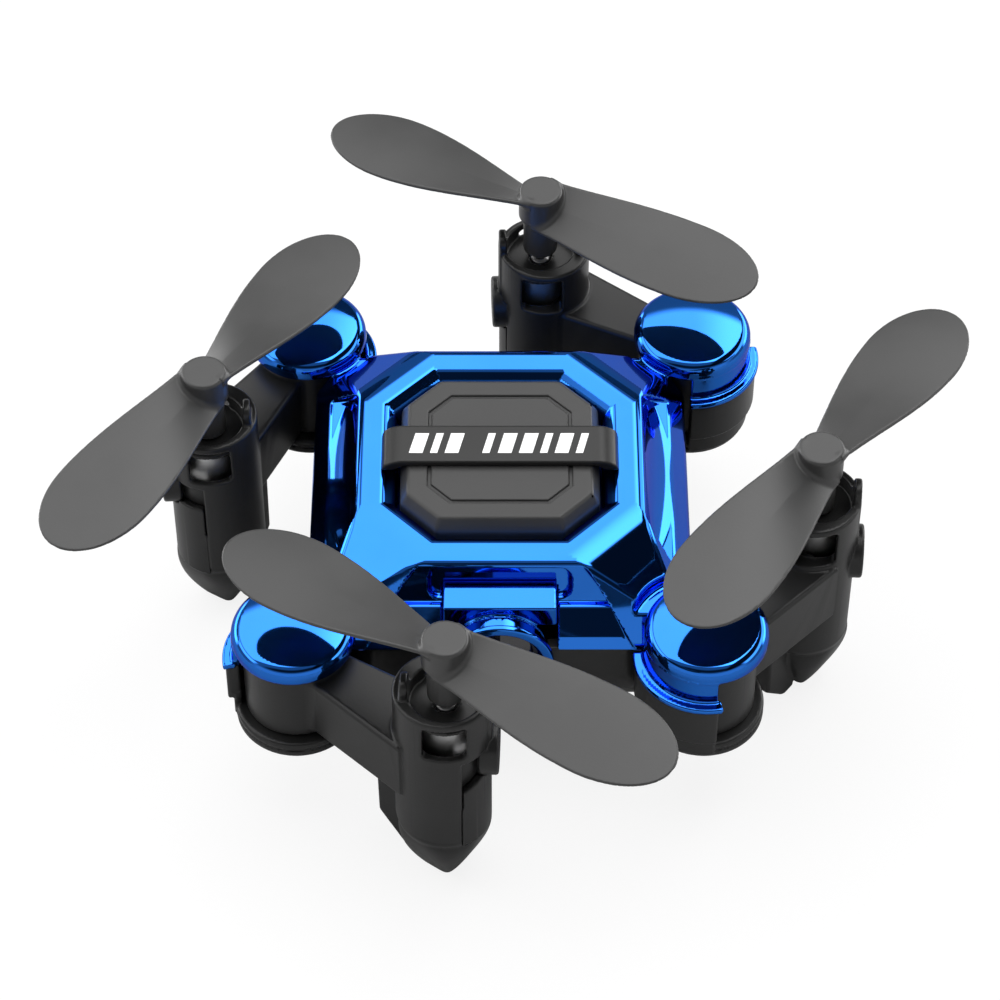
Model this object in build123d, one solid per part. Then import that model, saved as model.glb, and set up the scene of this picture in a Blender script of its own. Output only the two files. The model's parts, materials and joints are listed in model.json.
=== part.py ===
"""Mini palm drone: a square body with four fold-out arms, each carrying a motor and a propeller.

Frame: origin at the centre of the belly's flat face, +Z up, the camera looks along -Y.
All lengths are millimetres. The rest pose has the arms partly folded along the body's sides.
"""
from build123d import *
from math import cos, radians, sin
import os

# ---- body ------------------------------------------------------------------------------------
TURRET = 22.0                  # arm pivots stand at (+-TURRET, +-TURRET)
RIM_Z = 15.0                   # underside of the turret caps, above the belly
TOP_Z = RIM_Z + 5.1            # rim of the top deck
SPLIT_Z = RIM_Z - 3.5          # joint line of the two shells
DECK_HALF, DECK_EDGE = 15.56, 8.42       # octagon round the top deck: half width, half edge
POCKET_HALF, POCKET_EDGE = 12.64, 7.28   # mouth of the pocket in the top deck
POCKET_Z = RIM_Z + 2.4         # floor of the pocket
STRAP_TOP, STRAP_HALF = RIM_Z + 6.6, 2.7
SHOULDER = (19.0, 18.0)                  # outline under the slopes: half width, half edge
SIDE_HALF, SIDE_EDGE = 21.0, 14.6        # body outline at the joint line
BELLY_HALF, BELLY_EDGE = 17.6, 13.0      # body outline at the belly
WALL = 1.2
# ---- turrets ---------------------------------------------------------------------------------
CAP_R = 6.67
CAP_TOP_Z = RIM_Z + 2.8
SKIRT_IN, SKIRT_OUT = 6.0, 6.8           # skirt hanging from each cap, beside the arm
FLANGE_T = 0.8                           # flange round the skirt's foot
GUARD_IN, GUARD_OUT = 6.9, 7.8           # curved guard wall under the flange
GUARD_FROM, GUARD_TO = 88.0, 189.5       # its span on the front left turret, degrees
SKIRT_TO = 185.0               # the skirt stops short of the spread arm's beam
GUARD_LOW_Z = RIM_Z - 9.0
FOOT_RING_R = 6.7
FOOT_RING_LOW, FOOT_RING_HIGH = RIM_Z - 12.28, RIM_Z - 10.2
PIVOT_R = 1.6
PIVOT_SCREW_R, PIVOT_HEAD_R = 0.9, 2.0
FIT = 0.06                     # radial clearance of a running fit
# ---- arms ------------------------------------------------------------------------------------
ARM_LENGTH = 20.0              # pivot to motor axis
BARREL_R = 5.6
BARREL_LOW, BARREL_HIGH = RIM_Z - 9.85, RIM_Z - 0.3
BEAM_LOW, BEAM_HIGH = RIM_Z - 9.3, RIM_Z - 1.0
REST_ANGLE = {"front": -35.0, "right": 51.7, "rear": 150.2, "left": -120.9}
PIVOT_AT = {"front": (-1, -1), "right": (1, -1), "rear": (1, 1), "left": (-1, 1)}
FOLDED_ANGLE = -22.5           # front arm folded against the body, measured from +X
SPREAD_ANGLE = -134.0          # front arm spread out along the diagonal
# ---- motor pods ------------------------------------------------------------------------------
POD_R = 4.75
POD_HEEL_R, POD_HEEL_X = 5.05, ARM_LENGTH - 0.7   # fuller side towards the arm
POD_TOP = RIM_Z + 5.3
POD_TAPER = RIM_Z - 16.0
SOLE_Z = RIM_Z - 24.2
SOLE_X, SOLE_Y = 3.6, 4.0
SOLE_AT = ARM_LENGTH - 0.6       # sole centre, a little towards the pivot
WINDOW_LOW, WINDOW_HIGH, WINDOW_W = RIM_Z - 0.5, RIM_Z + 4.4, 4.6
POST_IN, POST_OUT, POST_HALF, POST_TOP = 3.85, 4.75, 1.5, RIM_Z + 7.5
LID_LOW, LID_HIGH = RIM_Z + 3.05, RIM_Z + 3.6     # bearing plate over the motor
POD_TURN = {"front": 32.5, "rear": 32.5, "left": -55.5, "right": -55.5}   # towards the side boss
COVER_MID = {"front": 16.0, "rear": 16.0, "left": -28.0, "right": -28.0}
COVER_SPREAD = 50.0
COVER_LOW, COVER_HIGH = RIM_Z - 15.8, RIM_Z - 5.0
COVER_IN = 3.85
BOSS_R, BOSS_Z, BOSS_REACH = 3.0, RIM_Z - 3.7, 5.6
# ---- motors ----------------------------------------------------------------------------------
CAN_R = 3.0
CAN_LOW, CAN_HIGH = RIM_Z - 13.0, RIM_Z + 3.0
TAIL_LOW = CAN_LOW - 1.4
SHAFT_R = 0.5
# ---- propellers ------------------------------------------------------------------------------
PROP_R = 27.5
BLADE_W, BLADE_ROOT, WIDEST = 11.0, 0.56, 0.68   # broadest chord, share left at the root, where
HUB_R = 2.5
HUB_TOP, HUB_LOW = RIM_Z + 14.0, RIM_Z + 9.9
SLEEVE_R, SLEEVE_LOW = 1.95, RIM_Z + 4.9
BLADE_Z = RIM_Z + 11.6
BLADE_T = 0.55
TIP_PITCH, ROOT_PITCH = 4.0, 39.0        # degrees
PROP_LIFT = {"front": 0.2, "rear": 0.2, "left": -1.0, "right": -1.0}     # neighbours pass each other
PROP_ANGLE = {"front": 1.8, "right": 3.0, "rear": 0.7, "left": -1.5}     # blade line from the arm's
PROP_TURN = {"front": 1, "rear": 1, "left": -1, "right": -1}             # +1 turns anticlockwise
# ---- camera ----------------------------------------------------------------------------------
LENS_Z = RIM_Z - 4.1
CAMERA_R, CAMERA_RING_R = 5.0, 5.8
CAMERA_BACK, CAMERA_FACE, CAMERA_RING_FACE = -16.4, -21.5, -22.3
VISOR_HALF, VISOR_TOP, VISOR_LOW = 6.1, RIM_Z + 2.0, RIM_Z - 1.0
VISOR_BACK, VISOR_FRONT = -15.9, -19.5
# ---- fastenings and insides ------------------------------------------------------------------
SHELL_SCREWS = [(x, y) for x in (-15.2, 15.2) for y in (-9.0, 9.0)]
TURRETS = [(x * TURRET, y * TURRET) for x in (-1, 1) for y in (-1, 1)]
SHELL_SCREW_R, SHELL_HEAD_R = 0.75, 1.4
BOSS_POST_R = 1.8
BUTTON_X, PORT_X, REAR_Z = 7.5, -4.0, RIM_Z - 7.0

nodes = {}


# ---- small helpers ---------------------------------------------------------------------------
def cyl(r, z0, z1, x=0.0, y=0.0):
    return Pos(x, y, z0) * Cylinder(r, z1 - z0, align=(Align.CENTER, Align.CENTER, Align.MIN))


def cyl_y(r, y0, y1, x, z):
    """Cylinder along Y from y0 to y1."""
    low, high = min(y0, y1), max(y0, y1)
    return Pos(x, (low + high) / 2, z) * Rot(90, 0, 0) * Cylinder(r, high - low)


def block(x0, x1, y0, y1, z0, z1):
    return Pos((x0 + x1) / 2, (y0 + y1) / 2, (z0 + z1) / 2) * Box(x1 - x0, y1 - y0, z1 - z0)


def octagon(half, edge):
    return [(half, -edge), (half, edge), (edge, half), (-edge, half),
            (-half, edge), (-half, -edge), (-edge, -half), (edge, -half)]


def face_at(points, z):
    return Pos(0, 0, z) * Polygon(*points, align=None)


def prism(points, z0, z1):
    return extrude(face_at(points, z0), amount=z1 - z0, dir=(0, 0, 1))


def slab_y(points, y0, y1):
    """Outline in X and Z, made solid from y0 to y1."""
    middle = Plane.XZ.offset(-(y0 + y1) / 2) * Polygon(*points, align=None)
    return extrude(middle, amount=abs(y1 - y0) / 2, both=True)


def slab_x(points, x0, x1):
    """Outline in Y and Z, made solid from x0 to x1."""
    middle = Plane.YZ.offset((x0 + x1) / 2) * Polygon(*points, align=None)
    return extrude(middle, amount=abs(x1 - x0) / 2, both=True)


def frustum(low_points, z0, high_points, z1):
    wires = [face_at(low_points, z0).face().outer_wire(), face_at(high_points, z1).face().outer_wire()]
    return Solid.make_loft(wires, True)


def wedge(a0, a1, z0, z1, reach=30.0):
    """Pie slice round the Z axis from angle a0 to a1, in degrees."""
    steps = max(2, int((a1 - a0) // 30) + 1)
    angles = [radians(a0 + (a1 - a0) * i / steps) for i in range(steps + 1)]
    return prism([(0, 0)] + [(reach * cos(a), reach * sin(a)) for a in angles], z0, z1)


def arc_wall(r_in, r_out, z0, z1, a0, a1):
    return (cyl(r_out, z0, z1) - cyl(r_in, z0 - 1, z1 + 1)) & wedge(a0, a1, z0, z1)


def at_turrets(shape):
    """The front left turret's shape, copied round to all four turrets."""
    placed = Pos(-TURRET, -TURRET, 0) * shape
    return [Rot(0, 0, 90 * k) * placed for k in range(4)]


def put(name, shape):
    shape.label = name
    nodes[name] = shape


# ---- body shells -----------------------------------------------------------------------------
def side_recess():
    """Sloped recess in the front face of the upper shell, wider at its foot."""
    slope = [(-DECK_HALF, TOP_Z + 0.1), (-DECK_HALF - 2.3, RIM_Z), (-DECK_HALF - 4.0, RIM_Z - 3.0),
             (-DECK_HALF - 9.0, RIM_Z - 3.0), (-DECK_HALF - 9.0, TOP_Z + 0.1)]
    outline = [(-DECK_EDGE, TOP_Z + 0.1), (DECK_EDGE, TOP_Z + 0.1),
               (SIDE_EDGE, RIM_Z - 3.2), (-SIDE_EDGE, RIM_Z - 3.2)]
    return slab_x(slope, -20, 20) & slab_y(outline, -30, -5)


def make_upper_shell():
    low = octagon(SIDE_HALF, SIDE_EDGE)
    shell = frustum(octagon(*SHOULDER), RIM_Z, octagon(DECK_HALF, DECK_EDGE), TOP_Z)
    shell += frustum(low, RIM_Z - 3.0, octagon(SHOULDER[0], SIDE_EDGE), RIM_Z)
    shell += prism(low, SPLIT_Z, RIM_Z - 3.0)
    for k in range(4):
        shell -= Rot(0, 0, 90 * k) * side_recess()
    cap = fillet(cyl(CAP_R, RIM_Z, CAP_TOP_Z).edges().group_by(Axis.Z)[-1], 1.3)
    skirt = arc_wall(SKIRT_IN, SKIRT_OUT, SPLIT_Z, RIM_Z + 0.7, GUARD_FROM, SKIRT_TO)
    flange = arc_wall(SKIRT_IN, GUARD_OUT, SPLIT_Z, SPLIT_Z + FLANGE_T, GUARD_FROM, SKIRT_TO)
    shell -= Compound(children=at_turrets(cyl(SKIRT_IN, SPLIT_Z - 1, RIM_Z)))
    for turret in at_turrets(cap + skirt + flange):
        shell += turret
    inner = octagon(SIDE_HALF - 3.2, SIDE_EDGE - 2.6)
    shell -= prism(inner, SPLIT_Z - 1, RIM_Z - 1.2)
    shell -= frustum(inner, RIM_Z - 1.2, octagon(DECK_HALF - 1.6, DECK_EDGE - 0.6), POCKET_Z - WALL)
    pocket_floor = octagon(POCKET_HALF - 1.3, POCKET_EDGE - 0.5)
    shell -= frustum(pocket_floor, POCKET_Z, octagon(POCKET_HALF, POCKET_EDGE), TOP_Z)
    for pin in at_turrets(cyl(PIVOT_R, FOOT_RING_HIGH, RIM_Z + 0.5)):
        shell += pin
    for x, y in SHELL_SCREWS:
        shell += cyl(BOSS_POST_R, SPLIT_Z, POCKET_Z - WALL, x, y) & prism(low, SPLIT_Z, TOP_Z)
        shell -= cyl(SHELL_SCREW_R, SPLIT_Z - 1, RIM_Z - 0.8, x, y)
    for hole in at_turrets(cyl(PIVOT_SCREW_R, FOOT_RING_HIGH - 1, RIM_Z - 4.0)):
        shell -= hole
    shell -= cyl_y(CAMERA_R + FIT, CAMERA_BACK - 0.6, -25, 0, LENS_Z)
    shell -= block(-VISOR_HALF, VISOR_HALF, -25, VISOR_BACK, SPLIT_Z - 1, VISOR_TOP)
    put("upper_shell", shell)


def make_lower_shell():
    low, high = octagon(BELLY_HALF, BELLY_EDGE), octagon(SIDE_HALF - 0.3, SIDE_EDGE - 0.1)
    shell = frustum(low, 0, high, 5.0) + prism(high, 5.0, SPLIT_Z)
    inner_low = octagon(BELLY_HALF - 1.4, BELLY_EDGE - 0.6)
    inner_high = octagon(SIDE_HALF - 1.5, SIDE_EDGE - 0.6)
    hollow = frustum(inner_low, WALL, inner_high, 5.2) + prism(inner_high, 5.2, SPLIT_Z + 1)
    foot_ring = cyl(FOOT_RING_R, FOOT_RING_LOW, FOOT_RING_HIGH)
    skirt = arc_wall(SKIRT_IN, FOOT_RING_R + 0.4, FOOT_RING_LOW, GUARD_LOW_Z + 0.5, GUARD_FROM, GUARD_TO)
    guard = arc_wall(GUARD_IN, GUARD_OUT, GUARD_LOW_Z, SPLIT_Z, GUARD_FROM, GUARD_TO)
    web = wedge(20, 70, FOOT_RING_LOW, FOOT_RING_HIGH, 11.0)
    clearance = cyl(BARREL_R + 0.35, FOOT_RING_HIGH, SPLIT_Z + 1)
    for turret in at_turrets(foot_ring + skirt + guard + web):
        shell += turret
    shell -= hollow
    for turret in at_turrets(clearance):
        shell -= turret
    screw_hole = cyl(PIVOT_SCREW_R + 0.05, FOOT_RING_LOW - 1, FOOT_RING_HIGH + 1)
    screw_hole += cyl(PIVOT_HEAD_R + 0.05, FOOT_RING_LOW - 1, FOOT_RING_LOW + 0.95)
    for hole in at_turrets(screw_hole):
        shell -= hole
    for x, y in SHELL_SCREWS:
        shell += cyl(BOSS_POST_R, 0.5, SPLIT_Z, x, y)
        shell -= cyl(SHELL_SCREW_R, -1, SPLIT_Z + 1, x, y) + cyl(SHELL_HEAD_R + 0.05, -1, 0.9, x, y)
    shell -= cyl_y(CAMERA_R + FIT, CAMERA_BACK - 0.6, -25, 0, LENS_Z)
    shell -= block(PORT_X - 3.9, PORT_X + 3.9, 15, 25, REAR_Z - 1.4, REAR_Z + 1.4)
    shell -= cyl_y(2.2, 18.5, 25, BUTTON_X, REAR_Z)
    put("lower_shell", shell)


def make_top_cover():
    base, deck = octagon(10.9, 6.9), octagon(10.05, 6.53)
    cover = frustum(base, POCKET_Z, deck, RIM_Z + 5.8)
    groove = prism(octagon(7.9, 5.45), RIM_Z + 5.5, RIM_Z + 6)
    groove -= prism(octagon(7.5, 5.2), RIM_Z + 5, RIM_Z + 7)
    put("top_cover", cover - groove)
    right_side = [(11.9, STRAP_TOP), (13.0, TOP_Z + 0.45), (13.0, TOP_Z), (11.6, TOP_Z), (10.5, RIM_Z + 5.8)]
    left_side = [(-x, z) for x, z in reversed(right_side)]
    put("top_strap", slab_y(right_side + left_side, -STRAP_HALF, STRAP_HALF))


# ---- camera ----------------------------------------------------------------------------------
def make_camera():
    visor = block(-VISOR_HALF, VISOR_HALF, VISOR_FRONT, VISOR_BACK, VISOR_LOW, VISOR_TOP)
    barrel = cyl_y(CAMERA_R, CAMERA_BACK, CAMERA_FACE, 0, LENS_Z)
    housing = visor + barrel - cyl_y(4.2, CAMERA_BACK - 0.8, -25, 0, LENS_Z)
    put("camera_housing", housing)
    ring = cyl_y(CAMERA_RING_R, CAMERA_FACE, CAMERA_RING_FACE, 0, LENS_Z)
    put("camera_ring", ring - cyl_y(4.2, CAMERA_FACE + 1, -25, 0, LENS_Z))
    put("camera_module", cyl_y(4.2, CAMERA_BACK - 0.8, -20.6, 0, LENS_Z) - cyl_y(2.6, -19.6, -25, 0, LENS_Z))
    put("camera_lens", cyl_y(4.2, -20.6, -21.6, 0, LENS_Z))
    put("camera_board", block(-5.5, 5.5, CAMERA_BACK, CAMERA_BACK + 0.6, LENS_Z - 4.5, LENS_Z + 2.9))


# ---- insides and fastenings ------------------------------------------------------------------
def make_insides():
    put("battery", fillet(block(-13.2, 13.2, -11.5, 11.5, WALL, WALL + 6.5).edges(), 0.8))
    board = block(-16.5, 16.5, -12.5, 12.5, 8.6, 9.6)
    for x, y in SHELL_SCREWS:
        board -= cyl(BOSS_POST_R + 0.1, 8, 10, x, y)
    put("main_board", board)
    chips = [block(-9, -3, -4, 4, 9.6, 10.6), block(1, 8, -6, 1, 9.6, 10.8), block(2, 6, 4, 8, 9.6, 10.3)]
    put("board_chips", Compound(children=chips))
    port_low, port_high = REAR_Z - 1.3, REAR_Z + 1.3
    port = block(PORT_X - 3.75, PORT_X + 3.75, 14.6, 20.7, port_low, port_high)
    mouth = block(PORT_X - 3.3, PORT_X + 3.3, 16.0, 21.0, port_low + 0.45, port_high - 0.45)
    tongue = block(PORT_X - 2.4, PORT_X + 2.4, 16.0, 19.8, REAR_Z - 0.3, REAR_Z + 0.3)
    put("charge_port", port - mouth + tongue)
    put("switch", block(BUTTON_X - 2.6, BUTTON_X + 2.6, 13.4, 17.4, REAR_Z - 1.6, REAR_Z + 1.6))
    put("rear_board", block(PORT_X - 5, BUTTON_X + 4, 12.6, 13.4, 5.6, 11.2))
    button = cyl_y(2.14, 18.2, 21.5, BUTTON_X, REAR_Z) + cyl_y(2.7, 18.2, 19.0, BUTTON_X, REAR_Z)
    put("power_button", button)


def screw(x, y, shank_r, head_r, head_low, head_high, tip):
    """Slotted screw, head down."""
    slot = block(x - 1, x + 1, y - 0.2, y + 0.2, head_low - 1, head_low + 0.35)
    return cyl(shank_r, head_high - 0.05, tip, x, y) + cyl(head_r, head_low, head_high, x, y) - slot


def make_fastenings():
    shell = [screw(x, y, SHELL_SCREW_R, SHELL_HEAD_R, 0.05, 0.9, 13.6) for x, y in SHELL_SCREWS]
    put("shell_screws", Compound(children=shell))
    low = FOOT_RING_LOW
    pivot = [screw(x, y, PIVOT_SCREW_R, PIVOT_HEAD_R, low, low + 0.95, RIM_Z - 4.2) for x, y in TURRETS]
    put("pivot_screws", Compound(children=pivot))
    washers = [cyl(3.4, FOOT_RING_HIGH, FOOT_RING_HIGH + 0.25, x, y) - cyl(PIVOT_R + 0.02, 0, RIM_Z, x, y)
               for x, y in TURRETS]
    put("pivot_washers", Compound(children=washers))


# ---- arms, each drawn along +X from its pivot at the origin -----------------------------------
def side_boss(turn, extra):
    """Round boss low on the pod's wall, grown by extra."""
    boss = Rot(0, 90, 0) * Cylinder(BOSS_R + extra, BOSS_REACH + extra - 3.4)
    return Rot(0, 0, turn) * Pos((BOSS_REACH + extra + 3.4) / 2, 0, BOSS_Z) * boss


def make_pod_body(turn, cover_mid):
    pod = cyl(POD_R, POD_TAPER, POD_TOP, ARM_LENGTH) + cyl(POD_HEEL_R, POD_TAPER, POD_TOP, POD_HEEL_X)
    waist = (Pos(ARM_LENGTH - 0.35, 0, POD_TAPER) * Circle(POD_R + 0.15)).face()
    sole = (Pos(SOLE_AT, 0, SOLE_Z) * RectangleRounded(SOLE_X, SOLE_Y, 0.5)).face()
    pod += loft([waist, sole])
    post = block(POST_IN, POST_OUT, -POST_HALF, POST_HALF, WINDOW_LOW, POST_TOP - POST_HALF)
    post_head = Rot(0, 90, 0) * Cylinder(POST_HALF, POST_OUT - POST_IN)
    post += Pos((POST_IN + POST_OUT) / 2, 0, POST_TOP - POST_HALF) * post_head
    for turned in (0, 180):
        pod += Pos(ARM_LENGTH, 0, 0) * Rot(0, 0, turn + turned) * post
    pod -= cyl(3.9, RIM_Z - 2.0, POST_TOP + 1, ARM_LENGTH)
    window = block(0, 8, -WINDOW_W / 2, WINDOW_W / 2, WINDOW_LOW, WINDOW_HIGH)
    for turned in (90, -90):
        pod -= Pos(ARM_LENGTH, 0, 0) * Rot(0, 0, turn + turned) * window
    seat = arc_wall(COVER_IN, 9.0, COVER_LOW, RIM_Z - 1.6, -COVER_SPREAD, COVER_SPREAD)
    pod -= Pos(ARM_LENGTH, 0, 0) * Rot(0, 0, cover_mid) * seat
    pod += Pos(ARM_LENGTH, 0, 0) * side_boss(turn, 0)
    pod += cyl(4.2, LID_LOW, LID_HIGH, ARM_LENGTH)
    pod -= cyl(1.3, LID_LOW - 0.1, LID_HIGH + 0.1, ARM_LENGTH)
    return pod - cyl(CAN_R + 0.02, TAIL_LOW, CAN_HIGH + 0.05, ARM_LENGTH)


def make_pod_cover(turn, cover_mid):
    """Outboard cover of the pod, notched round the side boss."""
    seat = arc_wall(COVER_IN, POD_R, COVER_LOW, COVER_HIGH, -COVER_SPREAD, COVER_SPREAD)
    return Pos(ARM_LENGTH, 0, 0) * (Rot(0, 0, cover_mid) * seat - side_boss(turn, FIT))


def make_arm_body(turn, cover_mid):
    beam = prism([(0, -2.77), (16.8, -5.0), (16.8, 3.36), (0, 1.83)], BEAM_LOW, BEAM_HIGH)
    leg_top, leg_foot = BEAM_LOW + 0.5, SOLE_Z + 0.4
    leg_outline = [(11.3, leg_top), (11.5, leg_foot + 3.6), (14.8, leg_foot), (16.4, leg_foot)]
    leg_outline.append((16.9, leg_top))
    leg = slab_y(leg_outline, -1.3, 1.3)
    arm = cyl(BARREL_R, BARREL_LOW, BARREL_HIGH) + beam + leg + make_pod_body(turn, cover_mid)
    return arm - cyl(PIVOT_R + FIT, 0, RIM_Z + 1)


def place_on_arm(side, shape):
    x, y = PIVOT_AT[side]
    return Pos(x * TURRET, y * TURRET, 0) * Rot(0, 0, REST_ANGLE[side]) * shape


def make_arm(side):
    turn, cover_mid = POD_TURN[side], COVER_MID[side]
    put(f"arm_{side}", place_on_arm(side, make_arm_body(turn, cover_mid)))
    put(f"pod_cover_{side}", place_on_arm(side, make_pod_cover(turn, cover_mid)))
    can = cyl(CAN_R, CAN_LOW, CAN_HIGH, ARM_LENGTH) + cyl(1.1, CAN_HIGH - 1, CAN_HIGH + 0.6, ARM_LENGTH)
    bore = cyl(SHAFT_R + FIT, TAIL_LOW - 1, CAN_HIGH + 2, ARM_LENGTH)
    put(f"motor_can_{side}", place_on_arm(side, can - bore))
    tail = cyl(CAN_R, TAIL_LOW, CAN_LOW, ARM_LENGTH)
    put(f"motor_tail_{side}", place_on_arm(side, tail))


# ---- propellers ------------------------------------------------------------------------------
def blade_section(r, hand):
    """Thin lens across the blade at radius r, with the leading edge high."""
    share = r / PROP_R
    growth = sin(radians(90 * min(1, share / WIDEST))) ** 1.6
    tip = max(0.004, 1 - (max(0, share - WIDEST) / (1 - WIDEST)) ** 2) ** 0.5
    chord = BLADE_W * (BLADE_ROOT + (1 - BLADE_ROOT) * growth) * tip
    pitch = radians(TIP_PITCH + (ROOT_PITCH - TIP_PITCH) * (1 - share) ** 3)
    half = chord / 2
    across = [(-half, 0), (-half * 0.4, -BLADE_T / 2), (half * 0.4, -BLADE_T / 2), (half, 0),
              (half * 0.4, BLADE_T / 2), (-half * 0.4, BLADE_T / 2)]
    points = [(hand * (a * cos(pitch) - b * sin(pitch)), a * sin(pitch) + b * cos(pitch)) for a, b in across]
    return Wire.make_polygon([Vector(r, y, BLADE_Z + z) for y, z in points], close=True)


def make_propeller(side):
    hand = PROP_TURN[side]
    stations = [1.2, 4.0, 7.5, 11.0, 14.5, 18.6, 21.5, 24.0, 25.8, 26.9, PROP_R]
    blade = Solid.make_loft([blade_section(r, hand) for r in stations], True)
    hub = fillet(cyl(HUB_R, HUB_LOW, HUB_TOP).edges().group_by(Axis.Z)[-1], 0.4)
    prop = hub + cyl(SLEEVE_R, SLEEVE_LOW, HUB_LOW) + blade + Rot(0, 0, 180) * blade
    prop -= cyl(SHAFT_R, SLEEVE_LOW - 1, HUB_TOP - 1.0)
    placed = Pos(ARM_LENGTH, 0, PROP_LIFT[side]) * Rot(0, 0, PROP_ANGLE[side]) * prop
    put(f"propeller_{side}", place_on_arm(side, placed))
    shaft = cyl(SHAFT_R, CAN_LOW + 0.3, HUB_TOP - 1.0 + PROP_LIFT[side], ARM_LENGTH)
    put(f"shaft_{side}", place_on_arm(side, shaft))


make_upper_shell()
make_lower_shell()
make_top_cover()
make_camera()
make_insides()
make_fastenings()
for side in REST_ANGLE:
    make_arm(side)
    make_propeller(side)

os.makedirs("parts", exist_ok=True)
for name, shape in nodes.items():
    export_step(shape, f"parts/{name}.step")
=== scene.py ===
"""Mini palm drone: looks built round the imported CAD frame. Fields and sizes are in millimetres."""
import json
from math import atan2, cos, hypot, pi, radians, sin

import bmesh
import bpy
import numpy as np
from mathutils import Matrix, Vector


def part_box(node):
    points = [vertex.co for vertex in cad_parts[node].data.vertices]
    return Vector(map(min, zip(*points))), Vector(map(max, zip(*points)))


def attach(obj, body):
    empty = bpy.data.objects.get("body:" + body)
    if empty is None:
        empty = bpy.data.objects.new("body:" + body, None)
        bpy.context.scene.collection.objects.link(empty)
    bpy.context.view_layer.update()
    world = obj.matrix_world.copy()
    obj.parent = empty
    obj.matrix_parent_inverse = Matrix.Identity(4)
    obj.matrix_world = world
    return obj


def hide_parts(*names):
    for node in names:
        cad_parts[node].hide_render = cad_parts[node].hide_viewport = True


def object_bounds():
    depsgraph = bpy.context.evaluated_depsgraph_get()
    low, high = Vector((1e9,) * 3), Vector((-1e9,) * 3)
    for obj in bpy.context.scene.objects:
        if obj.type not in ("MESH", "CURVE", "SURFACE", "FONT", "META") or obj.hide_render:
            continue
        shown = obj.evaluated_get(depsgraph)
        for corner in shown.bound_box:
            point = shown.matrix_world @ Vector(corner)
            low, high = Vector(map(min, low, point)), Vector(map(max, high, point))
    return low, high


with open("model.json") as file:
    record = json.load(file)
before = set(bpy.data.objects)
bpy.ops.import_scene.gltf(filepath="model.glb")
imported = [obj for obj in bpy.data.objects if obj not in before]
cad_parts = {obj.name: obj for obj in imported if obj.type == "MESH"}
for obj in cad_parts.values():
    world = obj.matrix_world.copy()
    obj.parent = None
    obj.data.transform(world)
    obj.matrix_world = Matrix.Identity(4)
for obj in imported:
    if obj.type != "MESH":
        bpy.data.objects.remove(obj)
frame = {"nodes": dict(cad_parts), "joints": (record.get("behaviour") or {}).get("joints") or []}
cad_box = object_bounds()

# ---- places read from the frame, in millimetres -----------------------------------------------
MM = 0.001
FINE = 0.25       # mesh step
FINER, FINEST = FINE * 0.8, FINE * 0.6   # steps of the smaller pieces
SIDES = ("front", "right", "rear", "left")
JOINTS = {j["name"]: j for j in frame["joints"]}
DECK_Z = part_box("upper_shell")[1].z / MM
DECK = 5.1                               # the deck's height above the cap rims
RIM_Z = DECK_Z - DECK
PIVOT = {s: Vector(JOINTS[f"arm_{s}_fold"]["pos_m"]) / MM for s in SIDES}
HUB = {s: Vector(JOINTS[f"prop_{s}_spin"]["pos_m"]) / MM for s in SIDES}
TURRET = abs(PIVOT["front"].x)
ARM_LENGTH = hypot(HUB["front"].x - PIVOT["front"].x, HUB["front"].y - PIVOT["front"].y)
ARM_ANGLE = {s: atan2(HUB[s].y - PIVOT[s].y, HUB[s].x - PIVOT[s].x) for s in SIDES}
# degrees from the arm's own line: the pod's side boss, the pod cover's middle and the blades at rest
POD_TURN = {"front": 32.5, "rear": 32.5, "left": -55.5, "right": -55.5}
COVER_MID = {"front": 16.0, "rear": 16.0, "left": -28.0, "right": -28.0}
PROP_ANGLE = {"front": 1.8, "right": 3.0, "rear": 0.7, "left": -1.5}
PROP_R, HUB_TOP = 27.3, RIM_Z + 14.0
PROP_LIFT = {s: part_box(f"propeller_{s}")[1].z / MM - HUB_TOP for s in SIDES}
PROP_TURN = {"front": 1, "rear": 1, "left": -1, "right": -1}     # +1 turns anticlockwise


# ---- distance fields: negative inside, rounded where they meet ---------------------------------
def inside_both(a, b, r=0.0):
    """Intersection of two fields, its edge rounded to radius r."""
    if np.ndim(r) == 0 and r == 0:
        return np.maximum(a, b)
    return np.minimum(np.maximum(a, b), -r) + np.hypot(np.maximum(a + r, 0), np.maximum(b + r, 0))


def inside_any(a, b, r=0.0):
    """Union of two fields, its inner corner rounded to radius r."""
    return -inside_both(-a, -b, r)


def cut(a, b, r=0.0):
    return inside_both(a, -b, r)


def slab(v, low, high):
    return np.abs(v - (low + high) / 2) - (high - low) / 2


def block(x, y, z, xs, ys, zs, r=0.0):
    """Box with rounded edges; xs, ys and zs are its spans."""
    qx, qy, qz = slab(x, *xs) + r, slab(y, *ys) + r, slab(z, *zs) + r
    outside = np.sqrt(np.maximum(qx, 0) ** 2 + np.maximum(qy, 0) ** 2 + np.maximum(qz, 0) ** 2)
    return outside + np.minimum(np.maximum(np.maximum(qx, qy), qz), 0) - r


def drum(x, y, z, radius, low, high, r=0.0):
    """Upright cylinder with rounded rims."""
    return inside_both(np.hypot(x, y) - radius, slab(z, low, high), r)


def slope(u, v, start, end):
    """Plane through two points of the (u, v) section; positive on the left of the way from start to end."""
    du, dv = end[0] - start[0], end[1] - start[1]
    return ((v - start[1]) * du - (u - start[0]) * dv) / hypot(du, dv)


def turned(x, y, angle, cx=0.0, cy=0.0):
    """Coordinates seen from a frame at (cx, cy) turned by angle degrees."""
    c, s = cos(radians(angle)), sin(radians(angle))
    return (x - cx) * c + (y - cy) * s, (y - cy) * c - (x - cx) * s


def fan(x, y, a0, a1):
    """Sector of less than 180 degrees from angle a0 to a1."""
    return np.maximum(-turned(x, y, a0)[1], turned(x, y, a1)[1])


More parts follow.
